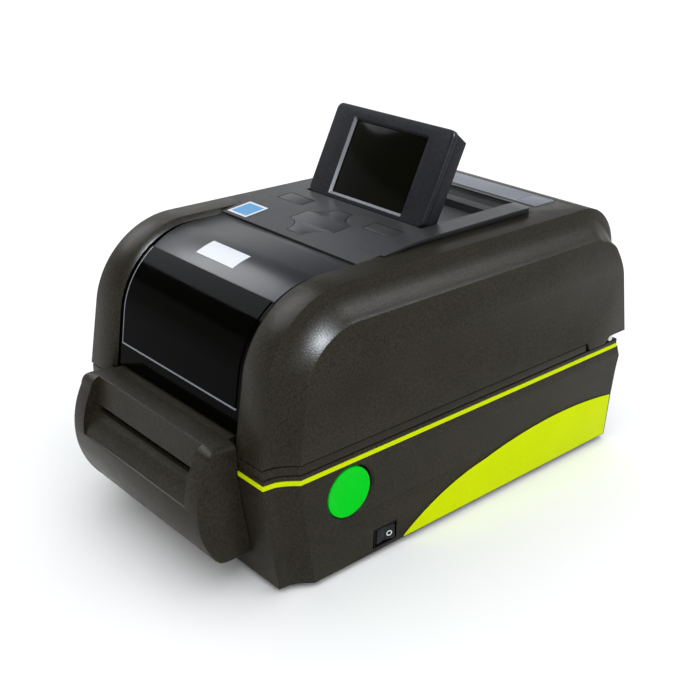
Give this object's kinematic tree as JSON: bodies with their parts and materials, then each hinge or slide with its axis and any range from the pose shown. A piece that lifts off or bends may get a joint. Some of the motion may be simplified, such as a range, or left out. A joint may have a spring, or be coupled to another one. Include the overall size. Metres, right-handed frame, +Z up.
{
  "type": "label printer",
  "caption": "Desktop thermal-transfer label printer with hinged cover, smoked window, keypad, flip-up screen and front label cutter.",
  "frame": {"origin": "bottom centre of the whole machine, on the plane its feet rest on", "axes": "+Z up, -Y towards the user and the cutter, +X to the user's right"},
  "size_m": [0.2184, 0.3792, 0.2627],
  "materials": {
    "matte_black": "fine moulded texture, black",
    "satin_black": "satin black",
    "gloss_black": "smoked, highly polished",
    "lime": "satin lime yellow",
    "button_green": "bright green moulded",
    "rubber": "black rubber",
    "steel": "plated steel",
    "bronze": "sintered bronze and brass",
    "grey_plastic": "dark grey moulded",
    "natural_plastic": "natural acetal",
    "circuit_board": "green solder mask",
    "ceramic": "glazed ceramic head",
    "white_paper": "blank white sticker",
    "blue_paper": "plain blue and white sticker"
  },
  "bodies": {
    "base": {"base_deck": "matte_black", "base_tub": "matte_black", "chassis": "steel", "cutter_fixed_blade": "steel", "cutter_frame": "steel", "cutter_housing": "matte_black", "cutter_motor": "grey_plastic", "deck_rim": "matte_black", "foot_1": "rubber", "foot_2": "rubber", "foot_3": "rubber", "foot_4": "rubber", "lime_stripe": "lime", "main_board": "circuit_board", "media_bay_liner": "grey_plastic", "network_port": "steel", "paper_ramp": "grey_plastic", "platen_bush_left": "bronze", "platen_bush_right": "bronze", "power_inlet": "grey_plastic", "rocker_frame": "grey_plastic", "serial_port": "steel", "stepper_motor": "grey_plastic", "swoosh_panel_left": "lime", "swoosh_panel_right": "lime", "tear_bar": "steel", "usb_host_port": "steel", "usb_port": "steel"},
    "lid": {"lid_shell": "matte_black", "smoked_window": "gloss_black", "centre_panel": "satin_black", "keypad_deck": "matte_black", "rear_trim": "grey_plastic", "white_sticker": "white_paper", "blue_sticker": "blue_paper", "hinge_arm_left": "steel", "hinge_arm_right": "steel", "ribbon_frame": "steel"},
    "screen": {"lcd_bezel": "matte_black", "lcd_rear_housing": "matte_black", "lcd_glass": "gloss_black"},
    "left_key": {"key_left": "matte_black"},
    "right_key": {"key_right": "matte_black"},
    "pad": {"navigation_pad": "matte_black"},
    "release_left": {"release_button_left": "button_green"},
    "release_right": {"release_button_right": "button_green"},
    "rocker": {"rocker_switch": "matte_black"},
    "platen": {"platen_shaft": "steel", "platen_roller": "rubber", "platen_gear": "natural_plastic"},
    "idler": {"idler_gear": "natural_plastic"},
    "pinion": {"motor_pinion": "bronze"},
    "guide_left": {"media_guide_left": "natural_plastic"},
    "guide_right": {"media_guide_right": "natural_plastic"},
    "supply_spindle": {"ribbon_supply_spindle": "natural_plastic"},
    "take_up_spindle": {"ribbon_take_up_spindle": "natural_plastic"},
    "head_unit": {"head_carrier": "steel", "print_head": "ceramic"},
    "cutter_blade": {"cutter_moving_blade": "steel"}
  },
  "joints": [
    {"name": "lid_hinge", "type": "hinge", "parent": "base", "child": "lid", "pos_m": [0, 0.17885, 0.092], "axis": [-1, 0, 0], "range_deg": [0, 75]},
    {"name": "screen_tilt", "type": "hinge", "parent": "lid", "child": "screen", "pos_m": [0, 0.01135, 0.199], "axis": [1, 0, 0], "range_deg": [-64, 12]},
    {"name": "left_key_press", "type": "slide", "parent": "lid", "child": "left_key", "axis": [0, 0, -1], "range_m": [0, 0.0012], "stiffness_N_per_m": 300, "springref_m": -0.0005},
    {"name": "right_key_press", "type": "slide", "parent": "lid", "child": "right_key", "axis": [0, 0, -1], "range_m": [0, 0.0012], "stiffness_N_per_m": 300, "springref_m": -0.0005},
    {"name": "pad_press", "type": "slide", "parent": "lid", "child": "pad", "axis": [0, 0, -1], "range_m": [0, 0.0012], "stiffness_N_per_m": 300, "springref_m": -0.0005},
    {"name": "release_left_press", "type": "slide", "parent": "base", "child": "release_left", "axis": [1, 0, 0], "range_m": [0, 0.0022], "stiffness_N_per_m": 600, "springref_m": -0.001},
    {"name": "release_right_press", "type": "slide", "parent": "base", "child": "release_right", "axis": [-1, 0, 0], "range_m": [0, 0.0022], "stiffness_N_per_m": 600, "springref_m": -0.001},
    {"name": "rocker_tip", "type": "hinge", "parent": "base", "child": "rocker", "pos_m": [0.102, -0.06345, 0.0144], "axis": [0, 0, 1], "range_deg": [0, 11]},
    {"name": "platen_spin", "type": "hinge", "parent": "base", "child": "platen", "pos_m": [0, -0.13115, 0.078], "axis": [1, 0, 0], "continuous": true},
    {"name": "idler_spin", "type": "hinge", "parent": "base", "child": "idler", "pos_m": [0, -0.10415, 0.078], "axis": [1, 0, 0], "continuous": true},
    {"name": "pinion_spin", "type": "hinge", "parent": "base", "child": "pinion", "pos_m": [0, -0.08315, 0.078], "axis": [1, 0, 0], "continuous": true},
    {"name": "supply_spin", "type": "hinge", "parent": "lid", "child": "supply_spindle", "pos_m": [0, -0.03915, 0.158], "axis": [1, 0, 0], "continuous": true},
    {"name": "take_up_spin", "type": "hinge", "parent": "lid", "child": "take_up_spindle", "pos_m": [0, -0.10115, 0.15], "axis": [1, 0, 0], "continuous": true},
    {"name": "guide_right_slide", "type": "slide", "parent": "base", "child": "guide_right", "axis": [-1, 0, 0], "range_m": [0, 0.038]},
    {"name": "guide_left_slide", "type": "slide", "parent": "base", "child": "guide_left", "axis": [1, 0, 0], "range_m": [0, 0.038]},
    {"name": "head_pivot", "type": "hinge", "parent": "lid", "child": "head_unit", "pos_m": [0, -0.09315, 0.112], "axis": [-1, 0, 0], "range_deg": [0, 3], "stiffness_Nm_per_rad": 20, "springref_deg": -5.73},
    {"name": "blade_stroke", "type": "slide", "parent": "base", "child": "cutter_blade", "axis": [0, 0, 1], "range_m": [0, 0.0064]}
  ],
  "couplings": [
    {"joint": "idler_spin", "follows": "platen_spin", "ratio": -0.8},
    {"joint": "pinion_spin", "follows": "platen_spin", "ratio": 2},
    {"joint": "guide_left_slide", "follows": "guide_right_slide", "ratio": 1}
  ]
}
